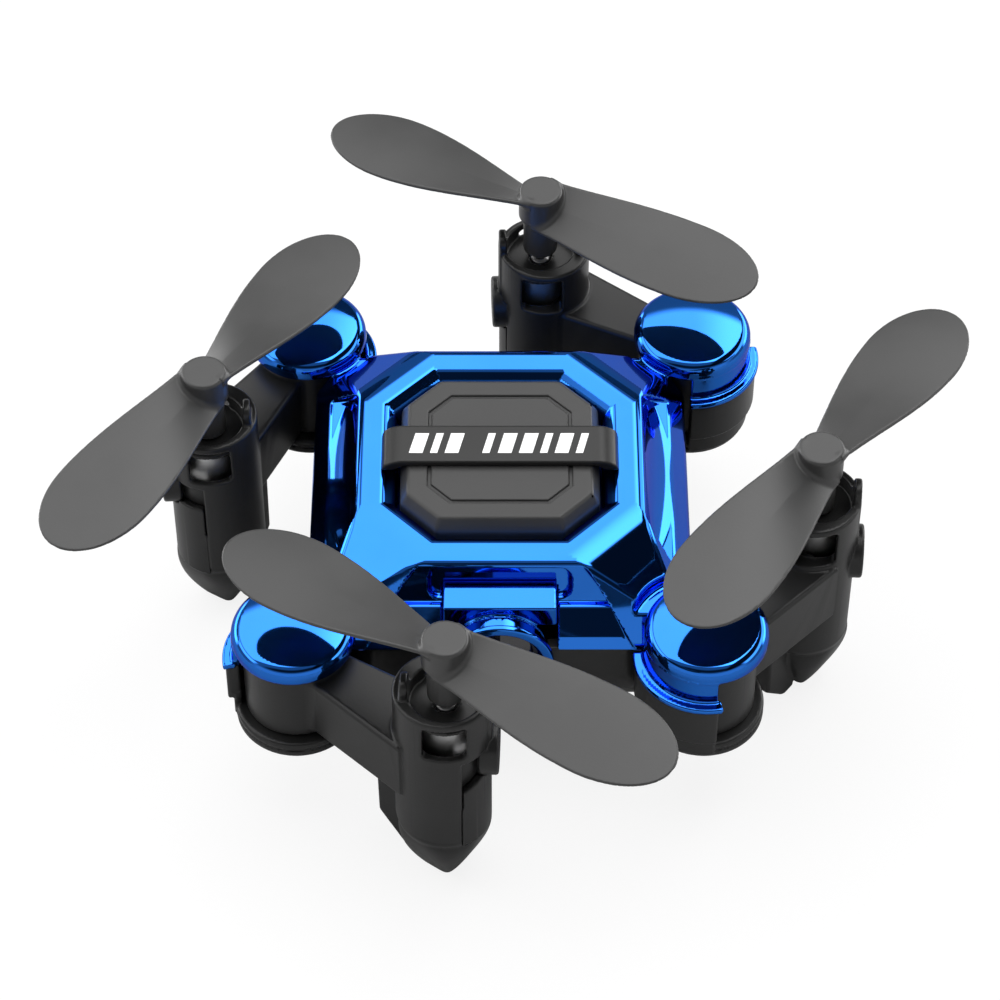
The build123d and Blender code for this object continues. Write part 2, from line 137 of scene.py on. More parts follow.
def to_front_left(x, y):
    """Fold the four quarters onto the front left one, keeping the pinwheel's turning sense."""
    left, low = x <= 0, y <= 0
    fx = np.where(left, np.where(low, x, -y), np.where(low, y, -x))
    fy = np.where(left, np.where(low, y, x), np.where(low, -x, -y))
    return fx, fy


# ---- meshes from fields ------------------------------------------------------------------------
CELLS, BATCH = 6, 200                    # cells along a block's side, and blocks worked on at once
CORNERS = np.array([(i, j, k) for i in (0, 1) for j in (0, 1) for k in (0, 1)])
EDGES = [(a, b) for a in range(8) for b in range(a + 1, 8) if np.abs(CORNERS[a] - CORNERS[b]).sum() == 1]


def gradient(field, p, eps=0.01):
    g = np.empty_like(p)
    for axis in range(3):
        shift = np.zeros(3)
        shift[axis] = eps
        g[:, axis] = (field(*(p + shift).T) - field(*(p - shift).T)) / (2 * eps)
    return g


def net(field, low, high, step):
    """Points and quads of the surface net round field = 0, found only in blocks near the surface."""
    span = CELLS * step
    low = np.array(low, float) - 0.37 * step
    counts = [int(np.ceil((h - l) / span)) + 1 for l, h in zip(low, high)]
    blocks = np.stack([g.ravel() for g in np.meshgrid(*[np.arange(n) for n in counts], indexing="ij")], 1)
    blocks = blocks[np.abs(field(*(low + (blocks + 0.5) * span).T)) < 1.05 * span]
    grid = np.stack([g.ravel() for g in np.meshgrid(*[np.arange(CELLS + 1)] * 3, indexing="ij")], 1)
    stride = np.array([1 << 40, 1 << 20, 1])
    keys, points, quads = [], [], []
    for start in range(0, len(blocks), BATCH):
        some = blocks[start:start + BATCH]
        places = low + (some[:, None, :] * CELLS + grid[None]) * step
        value = field(*places.reshape(-1, 3).T).reshape(-1, CELLS + 1, CELLS + 1, CELLS + 1)
        corner = np.stack([value[:, i:i + CELLS, j:j + CELLS, k:k + CELLS] for i, j, k in CORNERS], -1)
        solid = corner < 0
        found = np.nonzero(solid.any(-1) & ~solid.all(-1))
        cell = some[found[0]] * CELLS + np.stack(found[1:], 1)
        v = corner[found]
        total, hits = np.zeros((len(cell), 3)), np.zeros(len(cell))
        for a, b in EDGES:
            cross = (v[:, a] < 0) != (v[:, b] < 0)
            t = np.where(cross, v[:, a] / np.where(cross, v[:, a] - v[:, b], 1), 0)
            total += cross[:, None] * (CORNERS[a] + t[:, None] * (CORNERS[b] - CORNERS[a]))
            hits += cross
        keys.append(cell @ stride)
        points.append(low + (cell + total / hits[:, None]) * step)
        for axis, far in ((0, 4), (1, 2), (2, 1)):
            cross = solid[found][:, 0] != solid[found][:, far]
            here, out = cell[cross] @ stride, solid[found][cross, 0]
            one, two = stride[(axis + 1) % 3], stride[(axis + 2) % 3]
            ring = np.stack([here, here - one, here - one - two, here - two], 1)
            ring[~out] = ring[~out][:, ::-1]
            quads.append(ring)
    keys, points, quads = np.concatenate(keys), np.concatenate(points), np.concatenate(quads)
    order = np.argsort(keys)
    places = np.minimum(np.searchsorted(keys[order], quads), len(keys) - 1)
    whole = (keys[order][places] == quads).all(1)
    return points[order], places[whole]


def settle(field, p, reach):
    """Move points onto the surface, no further than reach from where they start."""
    first = p.copy()
    for _ in range(3):
        g = gradient(field, p)
        p = p - (field(*p.T) / np.maximum((g ** 2).sum(1), 0.2))[:, None] * g
        p = first + np.clip(p - first, -reach, reach)
    return p


def show(obj):
    bpy.context.scene.collection.objects.link(obj)
    return obj


def field_piece(name, field, low, high, step=FINE, flatten=0.25):
    """Object whose surface is the field's zero level, shaded with the field's own normals."""
    points, quads = net(field, low, high, step)
    points = settle(field, points, 0.7 * step)
    mesh = bpy.data.meshes.new(name)
    mesh.vertices.add(len(points))
    mesh.vertices.foreach_set("co", points.ravel())
    mesh.loops.add(quads.size)
    mesh.loops.foreach_set("vertex_index", quads.ravel())
    mesh.polygons.add(len(quads))
    mesh.polygons.foreach_set("loop_start", np.arange(0, quads.size, 4))
    mesh.polygons.foreach_set("loop_total", np.full(len(quads), 4))
    mesh.update(calc_edges=True)
    mesh.validate()
    work = bmesh.new()
    work.from_mesh(mesh)
    bmesh.ops.dissolve_limit(work, angle_limit=radians(flatten), verts=work.verts, edges=work.edges)
    work.to_mesh(mesh)
    work.free()
    co = np.empty(len(mesh.vertices) * 3)
    mesh.vertices.foreach_get("co", co)
    co = co.reshape(-1, 3)
    normals = gradient(field, co, 0.02)
    normals /= np.maximum(np.linalg.norm(normals, axis=1, keepdims=True), 1e-9)
    mesh.vertices.foreach_set("co", (co * MM).ravel())
    mesh.polygons.foreach_set("use_smooth", np.ones(len(mesh.polygons), bool))
    mesh.normals_split_custom_set_from_vertices(normals.tolist())
    mesh.update()
    return show(bpy.data.objects.new(name, mesh))


def finish_piece(obj, body, material, slot, *nodes):
    obj.data.materials.clear()
    obj.data.materials.append(material)
    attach(obj, body)
    if nodes:
        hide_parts(*nodes)
    return obj


# ---- body fields -------------------------------------------------------------------------------
DECK_HALF, DECK_EDGE = 15.56, 8.42
FACET_TOP, FACET_FOOT = (DECK_HALF + DECK_EDGE) / 2 ** 0.5, 37.0 / 2 ** 0.5
SIDE_HALF, SIDE_EDGE = 21.0, 14.6
CAP_R, CAP_TOP, DOME_R = 6.67, 2.95, 26.0
GUARD = (88.0, 189.5)                    # degrees round a turret that its guard wall covers
GUARD_LOW = -3.5                         # where the upper guard meets the lower
RING_LOW, RING_HIGH = -12.28, -10.2      # foot ring
CAMERA_Z, CAMERA_BORE = -4.1, 5.1        # the camera's axis, and the opening round it


def turret_frame(x, y):
    """Coordinates seen from the nearest turret's axis, and the distance from it."""
    tx, ty = to_front_left(x, y)
    tx, ty = tx + TURRET, ty + TURRET
    return tx, ty, np.hypot(tx, ty)


def camera_rho(x, z):
    return np.hypot(x, z - CAMERA_Z)


def camera_opening(x, y, z):
    """The camera's hole through the front wall; there is none behind y = -10."""
    return camera_rho(x, z) - CAMERA_BORE + 1e3 * (y > -10)


def octagon_field(x, y, half, edge, r=0.0):
    across = inside_both(np.abs(x) - half, np.abs(y) - half, 0)
    return inside_both(across, (np.abs(x) + np.abs(y) - half - edge) / 2 ** 0.5, r)


def octagon_bowl(x, y, z, half, edge, lean, r=0.0):
    """Octagon whose walls lean in by lean for each unit down from z = 0."""
    shift = z * lean
    return octagon_field(x, y, half + shift, edge + shift * 0.6, r) / (1 + lean * lean) ** 0.5


def deck_core(x, y, z):
    """The upper shell's faceted block, with its recessed sides; z is measured from the cap rims."""
    ax, ay = np.abs(x), np.abs(y)
    far, near = np.maximum(ax, ay), np.minimum(ax, ay)
    side = slope(far, z, (DECK_HALF, DECK), (SIDE_HALF, -2.8))
    facet = slope((ax + ay) / 2 ** 0.5, z, (FACET_TOP, DECK), (FACET_FOOT, 0.0))
    core = inside_both(inside_both(side, far - SIDE_HALF, 0.4), facet, 0.35)
    core = inside_both(core, z - DECK, 0.8)
    front = (y < 0) & (ay >= ax)
    wall = slope(far, z, (DECK_HALF + 0.1, DECK), (17.0, 0.3))
    toe = (20.2, -2.2)
    foot = inside_both(slope(far, z, (17.9, 0.0), toe), slope(far, z, toe, (SIDE_HALF, GUARD_LOW)))
    ledge = slope(far, z, (17.0, 1.1), (19.1, -0.04))
    bow = np.clip(1 - (near / 12.0) ** 2, 0, 1) * 2.2 + 0.2
    front_keep = inside_any(wall, inside_both(foot, z - 0.15, 0.12), 0.15)
    keep = np.where(front, front_keep, inside_any(wall, ledge, bow))
    mouth = slope(near, z, (DECK_EDGE + 0.3, DECK), (SIDE_EDGE, -3.2))
    recess = inside_both(inside_both(-keep, mouth, 0.4), -3.6 - z, 0.2)
    core = cut(core, recess, 0.18)
    return core, wall


def upper_field(x, y, z):
    z = z - RIM_Z
    core, wall = deck_core(x, y, z)
    niche = block(x, z, y, (-7.6, 7.6), (0.5, 4.1), (-30, 0), 1.2)
    core = cut(core, inside_both(niche, -wall - 0.75, 0.4), 0.3)
    hollow = inside_both(core + 1.0, z - 1.15, 0.5)
    tx, ty, rho = turret_frame(x, y)
    core = cut(core, inside_both(rho - 8.3, 0.35 - z, 0.5), 0.35)
    core = cut(core, inside_both(rho - 6.0, z + 0.02), 0.1)
    core = inside_both(core, GUARD_LOW - z, 0.1)
    dome = np.sqrt(rho ** 2 + (z - CAP_TOP + DOME_R) ** 2) - DOME_R
    cap = inside_both(inside_both(rho - CAP_R, dome, 1.1), -z, 0.45)
    neck = inside_both(rho - 6.35, slab(z, 0.1, 1.2))
    core = inside_any(core, inside_any(cap, neck, 0.25), 0.3)
    sector = fan(tx, ty, *GUARD)
    wall_ring = np.abs(rho - 6.35) - 0.35
    guard = inside_both(inside_both(wall_ring, slab(z, GUARD_LOW, 0.4)), sector, 0.1)
    lip = inside_both(np.abs(rho - 7.1) - 0.7, slab(z, GUARD_LOW, -2.75), 0.3)
    lip = inside_both(lip, fan(tx, ty, GUARD[0], GUARD[1] + 3.0), 0.1)
    core = inside_any(core, inside_any(guard, lip, 0.35), 0.15)
    pocket = inside_both(octagon_bowl(x, y, z - DECK, 11.75, 6.9, 0.2), 2.4 - z, 0.3)
    chamfer = inside_both(octagon_bowl(x, y, z - DECK, 12.7, 7.3, 1.0), 3.4 - z)
    core = cut(core, inside_any(pocket, chamfer, 0.15), 0.3)
    core = cut(core, inside_both(hollow, 9.6 - rho), 0.1)
    pin = inside_both(rho - 1.6, slab(z, RING_HIGH, 0.6))
    core = inside_any(core, pin)
    core = cut(core, camera_opening(x, y, z))
    return cut(core, block(x, y, z, (-6.2, 6.2), (-30, -15.8), (-4, 2.1)))


def lower_field(x, y, z):
    z = z - RIM_Z
    shoulder = slope(np.maximum(np.abs(x), np.abs(y)), z, (20.7, -10.0), (17.6, -15.0))
    body = inside_both(octagon_field(x, y, 20.7, 14.5, 0.8), shoulder, 1.2)
    body = inside_both(body, slab(z, -15.0, GUARD_LOW), 0.25)
    tx, ty, rho = turret_frame(x, y)
    sector = fan(tx, ty, *GUARD)
    ring = inside_both(rho - 6.7, slab(z, RING_LOW, RING_HIGH), 0.45)
    groove = inside_both(np.abs(rho - 6.9) - 0.35, slab(z, -11.35, -11.05))
    ring = cut(ring, groove, 0.1)
    guard = inside_both(np.abs(rho - 6.75) - 0.75, slab(z, -9.0, GUARD_LOW), 0.25)
    guard = inside_both(guard, sector, 0.3)
    skirt = inside_both(inside_both(np.abs(rho - 6.45) - 0.42, slab(z, -11.6, -8.0)), sector, 0.2)
    web = inside_both(inside_both(rho - 11, slab(z, RING_LOW, RING_HIGH), 0.3), fan(tx, ty, 20, 70), 0.3)
    corner = inside_any(inside_any(ring, web, 0.3), inside_any(guard, skirt, 0.3), 0.2)
    body = inside_any(body, corner, 0.3)
    body = cut(body, inside_both(rho - 5.95, slab(z, RING_HIGH, 1)))
    body = cut(body, rho - 0.95)
    body = cut(body, inside_both(rho - 2.05, z + 11.33))
    hollow = inside_both(octagon_field(x, y, 19.2, 13.6), -13.8 - z, 0.8)
    inner = slope(np.maximum(np.abs(x), np.abs(y)), z, (19.2, -10.2), (16.2, -14.2))
    body = cut(body, inside_both(hollow, inner, 0.5))
    screw = np.hypot(np.abs(x) - 15.2, np.abs(y) - 9.0)
    body = inside_any(body, inside_both(screw - 1.8, slab(z, -14.6, GUARD_LOW)), 0.3)
    body = cut(body, screw - 0.75)
    body = cut(body, inside_both(screw - 1.45, z + 14.1), 0.1)
    body = cut(body, camera_opening(x, y, z), 0.2)
    body = cut(body, block(x, y, z, (-7.9, -0.1), (15, 30), (-8.4, -5.6), 0.5), 0.15)
    return cut(body, inside_both(np.hypot(x - 7.5, z + 7.0) - 2.2, 18.5 - y), 0.15)


# ---- arm fields, drawn along +X from the pivot; z is measured from the cap rims -----------------
POD_R, SEAT_R, COVER_HALF = 4.75, 3.85, 50.0     # pod wall, the cover's seat in it, half the cover's angle
COVER_LOW, BOSS_Z, LEG_LOW = -15.8, -3.7, -23.8
KNEE = (11.5, -20.2)                             # where the leg's inner edge turns to its foot


def pod_field(x, y, z, turn, cover_mid):
    px = x - ARM_LENGTH
    rho = np.hypot(px, y)
    wall = inside_any(rho - POD_R, np.hypot(px + 0.7, y) - 5.05, 0.3)
    shank = inside_both(inside_both(wall, -16.2 - z, 1.2), z - 5.3, 0.35)
    t = np.clip((-15.6 - z) / 8.6, 0, 1)
    power = 2 + 3.5 * t
    square = (np.abs(px + 0.35 + 0.25 * t) ** power + np.abs(y) ** power) ** (1 / power)
    cone = (square - 1.85 - 3.05 * (1 - t ** 1.5)) * 0.85
    pod = inside_any(shank, inside_both(cone, slab(z, -24.2, -15.0), 0.4), 0.3)
    tx, ty = turned(px, y, turn)
    post = block(np.abs(tx), ty, z, (SEAT_R, POD_R), (-1.5, 1.5), (-3.0, 7.5), 0.3)
    post = inside_both(post, np.hypot(ty, np.maximum(z - 6.0, 0)) - 1.5, 0.25)
    pod = inside_any(pod, post, 0.3)
    pod = cut(pod, inside_both(rho - 3.9, -2.0 - z, 0.3), 0.3)
    window = block(tx, np.abs(ty), z, (-2.3, 2.3), (2.0, 8.0), (-0.5, 4.4), 0.5)
    pod = cut(pod, window, 0.25)
    cx, cy = turned(px, y, cover_mid)
    seat = inside_both(SEAT_R - rho, fan(cx, cy, -COVER_HALF, COVER_HALF))
    seat = inside_both(seat, slab(z, COVER_LOW, -1.6), 0.02)
    pod = cut(pod, seat, np.where(z > -9.2, 0.2, 0.01))
    face = np.hypot(ty, z - BOSS_Z)
    boss = inside_both(face - 3.0, slab(tx, 3.4, 5.6), 0.3)
    boss = cut(boss, inside_both(face - 0.7, 5.3 - tx, 0.1), 0.1)
    lid = inside_both(inside_both(rho - 4.2, 1.3 - rho), slab(z, 3.05, 3.6), 0.12)
    return inside_any(inside_any(pod, boss, 0.2), lid, 0.15)


def arm_field(x, y, z, turn, cover_mid):
    z = z - RIM_Z
    rho = np.hypot(x, y)
    barrel = drum(x, y, z, 5.6, -9.85, -0.3, 0.3)
    right = slope(x, y, (0, -2.77), (16.8, -5.0))
    left = slope(x, y, (16.8, 3.36), (0, 1.83))
    sides = inside_both(inside_both(-right, -left), slab(x, 0, 17.5))
    beam = inside_both(sides, slab(z, -9.3, -1.0), 0.55)
    lean = slope(x, z, (11.3, -8.8), KNEE)
    bevel = slope(x, z, KNEE, (14.8, LEG_LOW))
    leg = inside_both(inside_both(-lean, -bevel), x - 16.9)
    leg = inside_both(leg, slab(z, LEG_LOW, -8.5), 0.5)
    leg = inside_both(leg, np.abs(y) - 1.3, 0.4)
    arm = inside_any(inside_any(barrel, beam, 0.6), leg, 0.4)
    arm = inside_any(arm, pod_field(x, y, z, turn, cover_mid), 0.35)
    px = np.hypot(x - ARM_LENGTH, y)
    arm = cut(arm, inside_both(px - 3.02, slab(z, -14.4, 3.05)))
    return cut(arm, rho - 1.66)


def cover_field(x, y, z, turn, cover_mid):
    z = z - RIM_Z
    px = x - ARM_LENGTH
    rho = np.hypot(px, y)
    cx, cy = turned(px, y, cover_mid)
    open_edge = np.clip((z + 9.4) / 0.3, 0, 1)
    sector = fan(cx, cy, -50.3, 50.3) + 0.14 * open_edge
    shell = inside_both(inside_both(rho - POD_R, 3.88 - rho), sector, 0.01 + 0.15 * open_edge)
    rim = -4.9 - 1.5 * np.clip(-np.degrees(np.arctan2(cy, cx)) / 45, 0, 1)
    shell = inside_both(shell, slab(z, -15.78, 0), 0.01)
    shell = inside_both(shell, z - rim, 0.2)
    tx, ty = turned(px, y, turn)
    return cut(shell, inside_both(np.hypot(ty, z - BOSS_Z) - 3.06, 3.3 - tx), 0.05)


def can_field(x, y, z):
    z = z - RIM_Z
    can = drum(x, y, z, 2.98, -13.0, 3.0, 0.35)
    can = inside_any(can, drum(x, y, z, 1.1, 2.5, 3.6, 0.15), 0.2)
    vent = np.hypot(np.abs(x) - 1.95, y) - 0.32
    can = cut(can, inside_both(vent, 2.7 - z), 0.08)
    return cut(can, np.hypot(x, y) - 0.56)


# ---- propeller field, its hub on the Z axis ------------------------------------------------------
BLADE_W, WIDEST = 11.0, 0.68             # broadest chord, and where along the blade
BLADE_Z, CAMBER = 11.6, 0.26
TIP_PITCH, TWIST = 4.0, 35.0             # degrees at the tip, and what the root adds


def propeller_field(x, y, z, hand):
    z = z - RIM_Z
    rho = np.hypot(x, y)
    flip = np.where(x < 0, -1.0, 1.0)
    r, u = x * flip, y * flip * hand
    share, broad = np.clip(r / PROP_R, 0, 1), BLADE_W / 2
    pitch = np.radians(TIP_PITCH + TWIST * (1 - share) ** 3)
    rise = z - BLADE_Z
    along = u * np.cos(pitch) + rise * np.sin(pitch)
    inner = broad * (0.56 + 0.44 * np.sin(np.clip(share / WIDEST, 0, 1) * pi / 2) ** 1.6)
    tip = broad * (np.hypot(along / broad, (r / PROP_R - WIDEST) / (1 - WIDEST)) - 1)
    outline = np.where(share < WIDEST, np.abs(along) - inner, tip)
    fill = np.clip(-outline / broad, 0, 1)
    over = rise * np.cos(pitch) - u * np.sin(pitch) - CAMBER * fill * (2 - fill)
    thin = 0.17 + 0.1 * (1 - share)
    blade = (np.hypot(np.maximum(outline + thin, 0), over) - thin) * 0.85
    hub, sleeve = drum(x, y, z, 2.5, 9.9, 13.94, 0.42), drum(x, y, z, 1.95, 4.9, 10.4, 0.2)
    prop = inside_any(inside_any(hub, sleeve, 0.15), blade, 0.55)
    return cut(prop, inside_both(rho - 0.5, z - 13.0))


# ---- top cover, strap and camera -----------------------------------------------------------------
def top_cover_field(x, y, z):
    z = z - RIM_Z
    t = np.clip((z - 2.4) / 3.4, 0, 1)
    low = octagon_field(x, y, 10.9, 6.9, 0.2)
    lid = octagon_bowl(x, y, z - 5.8, 10.05, 6.53, -0.55, 0.2)
    cover = inside_both(inside_both(low, lid, 0.15), slab(z, 2.42, 5.8), 0.28)
    line = np.abs(octagon_field(x, y, 7.7, 5.3)) - 0.2
    return cut(cover, inside_both(line, 5.5 - z, 0.08), 0.12)


def strap_field(x, y, z):
    z = z - RIM_Z
    ax = np.abs(x)
    band = inside_both(z - 6.6, slope(ax, z, (11.9, 6.6), (13.0, 5.55)), 0.8)
    band = inside_both(band, ax - 13.0, 0.5)
    under = inside_any(5.8 - z, slope(ax, z, (11.6, 5.1), (10.5, 5.8)), 0.1)
    band = inside_both(band, inside_both(under, 5.1 - z))
    return inside_both(band, np.abs(y) - 2.7, 0.22)


def camera_field(x, y, z):
    z = z - RIM_Z
    rho = camera_rho(x, z)
    visor = block(x, y, z, (-6.1, 6.1), (-19.5, -15.92), (-1.0, 2.6), 0.22)
    visor = inside_both(visor, slope(-y, z, (15.9, 2.25), (19.5, 1.75)), 0.22)
    barrel = inside_both(rho - 5.0, slab(y, -21.6, -16.4), 0.1)
    seam = inside_both(np.abs(rho - 5.0) - 0.14, slab(y, -19.95, -19.75))
    housing = cut(inside_any(visor, barrel, 0.25), seam, 0.08)
    return cut(housing, inside_both(rho - 4.2, y + 17.2))


def camera_ring_field(x, y, z):
    rho = camera_rho(x, z - RIM_Z)
    ring = inside_both(rho - 5.8, slab(y, -22.3, -21.5), 0.3)
    return cut(ring, rho - 4.25 - 0.9 * np.clip(-21.7 - y, 0, 1), 0.12)


def lens_field(x, y, z):
    rho = camera_rho(x, z - RIM_Z)
    dome = np.sqrt(rho ** 2 + (y + 14.0) ** 2) - 7.6
    return inside_both(inside_both(rho - 4.18, slab(y, -21.6, -20.6), 0.12), dome, 0.1)


def module_field(x, y, z):
    rho = camera_rho(x, z - RIM_Z)
    body = inside_both(rho - 4.18, slab(y, -20.58, -17.2), 0.1)
    body = cut(body, inside_both(rho - 2.6 - 0.8 * np.clip(-19.6 - y, 0, 1.2), y + 19.3), 0.1)
    eye = np.sqrt(rho ** 2 + (y + 17.9) ** 2) - 1.9
    return inside_any(body, eye, 0.1)


# ---- materials -----------------------------------------------------------------------------------
def new_material(name):
    material = bpy.data.materials.new(name)
    material.use_nodes = True
    return material, material.node_tree, material.node_tree.nodes["Principled BSDF"]


def node(tree, kind, **settings):
    made = tree.nodes.new("ShaderNode" + kind)
    for key, value in settings.items():
        setattr(made, key, value)
    return made


def feed(tree, target, value):
    """Link a socket to an input, or write a constant on it."""
    if isinstance(value, bpy.types.NodeSocket):
        tree.links.new(value, target)
    else:
        target.default_value = value


def maths(tree, operation, a, b=0.0):
    made = node(tree, "Math", operation=operation)
    feed(tree, made.inputs[0], a)
    feed(tree, made.inputs[1], b)
    return made.outputs[0]


def product(tree, first, *others):
    for other in others:
        first = maths(tree, "MULTIPLY", first, other)
    return first


def ramp(tree, value, start, end, low=0.0, high=1.0):
    """Smooth step of value from low at start to high at end."""
    made = node(tree, "MapRange", interpolation_type="SMOOTHSTEP")
    settings = {"Value": value, "From Min": start, "From Max": end, "To Min": low, "To Max": high}
    for key, setting in settings.items():
        feed(tree, made.inputs[key], setting)
    return made.outputs["Result"]


def noise(tree, scale, detail=3.0):
    place = node(tree, "TexCoord")
    made = node(tree, "TexNoise")
    feed(tree, made.inputs["Vector"], place.outputs["Object"])
    feed(tree, made.inputs["Scale"], scale)
    feed(tree, made.inputs["Detail"], detail)
    return made.outputs["Fac"]


def tint(tree, fac, low, high):
    made = node(tree, "Mix", data_type="RGBA")
    feed(tree, made.inputs["Factor"], fac)
    feed(tree, made.inputs["A"], (*low, 1))
    feed(tree, made.inputs["B"], (*high, 1))
    return made.outputs["Result"]


def surface(name, low, high, rough, grain, height, patch=90.0, **values):
    """Material whose colour and roughness drift between two values, with a fine bump of the given grain."""
    material, tree, shader = new_material(name)
    drift = noise(tree, patch)
    speckle = noise(tree, grain, 2.0)
    feed(tree, shader.inputs["Base Color"], tint(tree, ramp(tree, drift, 0.35, 0.65), low, high))
    feed(tree, shader.inputs["Roughness"], ramp(tree, drift, 0.3, 0.7, *rough))
    bump = node(tree, "Bump")
    feed(tree, bump.inputs["Strength"], 0.35)
    feed(tree, bump.inputs["Distance"], height)
    feed(tree, bump.inputs["Height"], speckle)
    feed(tree, shader.inputs["Normal"], bump.outputs["Normal"])
    for key, value in values.items():
        feed(tree, shader.inputs[key.replace("_", " ")], value)
    return material


BLUE = surface("blue_chrome", (0.01, 0.155, 0.66), (0.012, 0.165, 0.69), (0.045, 0.07), 350, 0.000002,
               Metallic=1.0, Specular_Tint=(0.02, 0.3, 0.8, 1.0), Coat_Weight=0.35, Coat_Roughness=0.03)
BLACK = surface("dark_plastic", (0.014, 0.014, 0.014), (0.018, 0.018, 0.018), (0.3, 0.38), 2600, 0.00002,
                Specular_IOR_Level=0.28)
GREY = surface("propeller_grey", (0.036, 0.036, 0.036), (0.043, 0.043, 0.043), (0.32, 0.38), 3200, 0.00002,
               Specular_IOR_Level=0.4)
COVER = surface("cover_plastic", (0.032, 0.032, 0.032), (0.038, 0.038, 0.038), (0.36, 0.44), 2800, 0.00002,
                Specular_IOR_Level=0.33)
CAN = surface("motor_steel", (0.72, 0.72, 0.72), (0.84, 0.84, 0.83), (0.4, 0.5), 1500, 0.00001, Metallic=1.0)
STEEL = surface("bright_steel", (0.5, 0.5, 0.5), (0.66, 0.66, 0.66), (0.18, 0.3), 1200, 0.00001, Metallic=1.0)
BOARD = surface("circuit_board", (0.006, 0.06, 0.022), (0.012, 0.1, 0.04), (0.28, 0.4), 900, 0.00002,
                patch=400.0)
CHIP = surface("chip_black", (0.012, 0.012, 0.013), (0.02, 0.02, 0.02), (0.4, 0.55), 2000, 0.00001)
WRAP = surface("cell_wrap", (0.34, 0.36, 0.4), (0.44, 0.46, 0.5), (0.22, 0.38), 500, 0.00006, Metallic=0.6)
MARK = surface("white_print", (0.86, 0.86, 0.86), (0.94, 0.94, 0.94), (0.5, 0.6), 2400, 0.00001)
GLASS = surface("lens_glass", (0.004, 0.004, 0.007), (0.008, 0.006, 0.014), (0.02, 0.05), 300, 0.000001,
                Coat_Weight=1.0, Coat_Roughness=0.02)


# ---- pieces --------------------------------------------------------------------------------------
def place_on_arm(obj, side, reach=0.0, lift=0.0, turn=0.0):
    pivot = Matrix.Translation((PIVOT[side].x * MM, PIVOT[side].y * MM, 0))
    out = Matrix.Translation((reach * MM, 0, lift * MM))
    along = Matrix.Rotation(ARM_ANGLE[side], 4, "Z")
    obj.matrix_world = pivot @ along @ out @ Matrix.Rotation(radians(turn), 4, "Z")


def twin(first, name):
    """A second object on the same mesh."""
    obj = first.copy()
    obj.name = name
    return show(obj)


def place_in_mesh(obj):
    obj.data = obj.data.copy()
    obj.data.transform(obj.matrix_world)
    obj.matrix_world = Matrix()


def body_piece(name, field, low, high, material, slot, cad_node, **options):
    """A piece of the body; the corners low and high that it is looked for in are measured from the cap rims."""
    low, high = (low[0], low[1], low[2] + RIM_Z), (high[0], high[1], high[2] + RIM_Z)
    obj = field_piece(name, field, low, high, **options)
    return finish_piece(obj, "body", material, slot, cad_node)


def make_body_pieces():
    body_piece("upper_case", upper_field, (-30.5, -30.5, -11), (30.5, 30.5, 6),
               BLUE, "blue_chrome", "upper_shell")
    body_piece("lower_case", lower_field, (-30.5, -30.5, -15.5), (30.5, 30.5, -3),
               BLACK, "dark_plastic", "lower_shell")
    body_piece("cover_lid", top_cover_field, (-11.5, -11.5, 2), (11.5, 11.5, 6.2),
               COVER, "dark_plastic", "top_cover", step=FINER)
    body_piece("cover_strap", strap_field, (-13.5, -3.1, 4.8), (13.5, 3.1, 7),
               BLACK, "dark_plastic", "top_strap", step=FINER)
    body_piece("camera_case", camera_field, (-6.5, -22, -9.5), (6.5, -15.5, 2.4),
               BLUE, "blue_chrome", "camera_housing", step=FINER)
    body_piece("camera_rim", camera_ring_field, (-6.2, -22.7, -10.3), (6.2, -21.2, 2.1),
               BLUE, "blue_chrome", "camera_ring", step=FINEST)
    body_piece("camera_glass", lens_field, (-4.6, -22, -8.7), (4.6, -20.2, 0.5),
               GLASS, "lens_glass", "camera_lens", step=FINEST)
    body_piece("camera_core", module_field, (-4.6, -21, -8.7), (4.6, -15.6, 0.5),
               CHIP, "dark_plastic", "camera_module", step=FINEST)


def make_arm_pieces():
    span = (-6, -6.2, RIM_Z - 24.8), (26, 6.2, RIM_Z + 7.8)
    can = field_piece("motor_case_front", can_field, (-3.4, -3.4, RIM_Z - 13.4), (3.4, 3.4, RIM_Z + 4), FINER)
    for pair in (("front", "rear"), ("right", "left")):
        turn, mid = POD_TURN[pair[0]], COVER_MID[pair[0]]
        arm = field_piece(f"arm_case_{pair[0]}", lambda x, y, z: arm_field(x, y, z, turn, mid), *span)
        cover = field_piece(f"pod_lid_{pair[0]}", lambda x, y, z: cover_field(x, y, z, turn, mid),
                            (13, -7, RIM_Z - 17.5), (27, 7, RIM_Z - 4.5))
        for side in pair:
            first = side == pair[0]
            piece = arm if first else twin(arm, f"arm_case_{side}")
            place_on_arm(piece, side)
            finish_piece(piece, f"arm_{side}", BLACK, "dark_plastic", f"arm_{side}")
            piece = cover if first else twin(cover, f"pod_lid_{side}")
            place_on_arm(piece, side)
            finish_piece(piece, f"arm_{side}", BLACK, "dark_plastic", f"pod_cover_{side}")
            piece = can if side == "front" else twin(can, f"motor_case_{side}")
            place_on_arm(piece, side, ARM_LENGTH)
            finish_piece(piece, f"arm_{side}", CAN, "motor_steel", f"motor_can_{side}")


def make_propellers():
    span = (-27.8, -5.6, RIM_Z + 2), (27.8, 5.6, RIM_Z + 14.4)
    for pair in (("front", "rear"), ("right", "left")):
        hand = PROP_TURN[pair[0]]
        prop = field_piece(f"blades_{pair[0]}", lambda x, y, z: propeller_field(x, y, z, hand), *span, FINER)
        for side, piece in zip(pair, (prop, twin(prop, f"blades_{pair[1]}"))):
            place_on_arm(piece, side, ARM_LENGTH, PROP_LIFT[side], PROP_ANGLE[side])
            place_in_mesh(piece)
            finish_piece(piece, f"prop_{side}", GREY, "propeller_grey", f"propeller_{side}")


